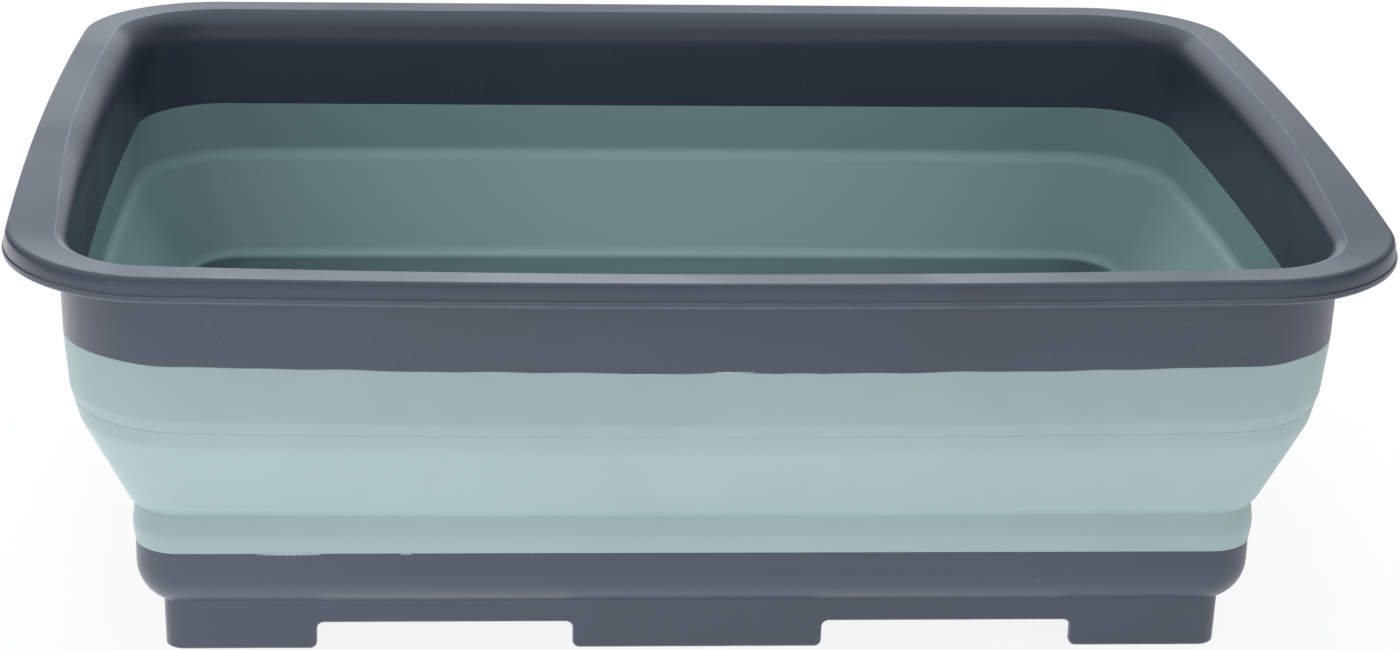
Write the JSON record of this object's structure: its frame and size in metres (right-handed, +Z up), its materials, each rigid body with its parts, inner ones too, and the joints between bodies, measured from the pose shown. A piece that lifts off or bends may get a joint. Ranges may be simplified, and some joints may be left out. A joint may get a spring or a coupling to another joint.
{
  "type": "folding washing up bowl",
  "caption": "Rectangular folding washing up bowl: hard flanged rim and hard footed base joined by a soft wall that folds flat along two creases.",
  "frame": {"origin": "on the ground under the middle of the bowl", "axes": "+X along the long side to the viewer's right, +Y to the back, +Z up"},
  "size_m": [0.38, 0.288, 0.126],
  "materials": {
    "rim_plastic": "fine satin moulded polypropylene, blue-grey",
    "soft_wall": "matt thermoplastic rubber, pale grey-green",
    "base_plastic": "fine satin moulded polypropylene, blue-grey"
  },
  "bodies": {
    "base": {"base_tray": "base_plastic", "lower_wall_band": "soft_wall"},
    "fold": {"fold_panel": "soft_wall"},
    "rim": {"rim_frame": "rim_plastic", "upper_wall_band": "soft_wall"}
  },
  "joints": [
    {"name": "rim_slide", "type": "slide", "parent": "base", "child": "rim", "axis": [0, 0, 1], "range_m": [-0.0626, 0]},
    {"name": "fold_slide", "type": "slide", "parent": "base", "child": "fold", "axis": [0, 0, 1], "range_m": [-0.0313, 0]}
  ],
  "couplings": [
    {"joint": "fold_slide", "follows": "rim_slide", "ratio": 0.5}
  ]
}
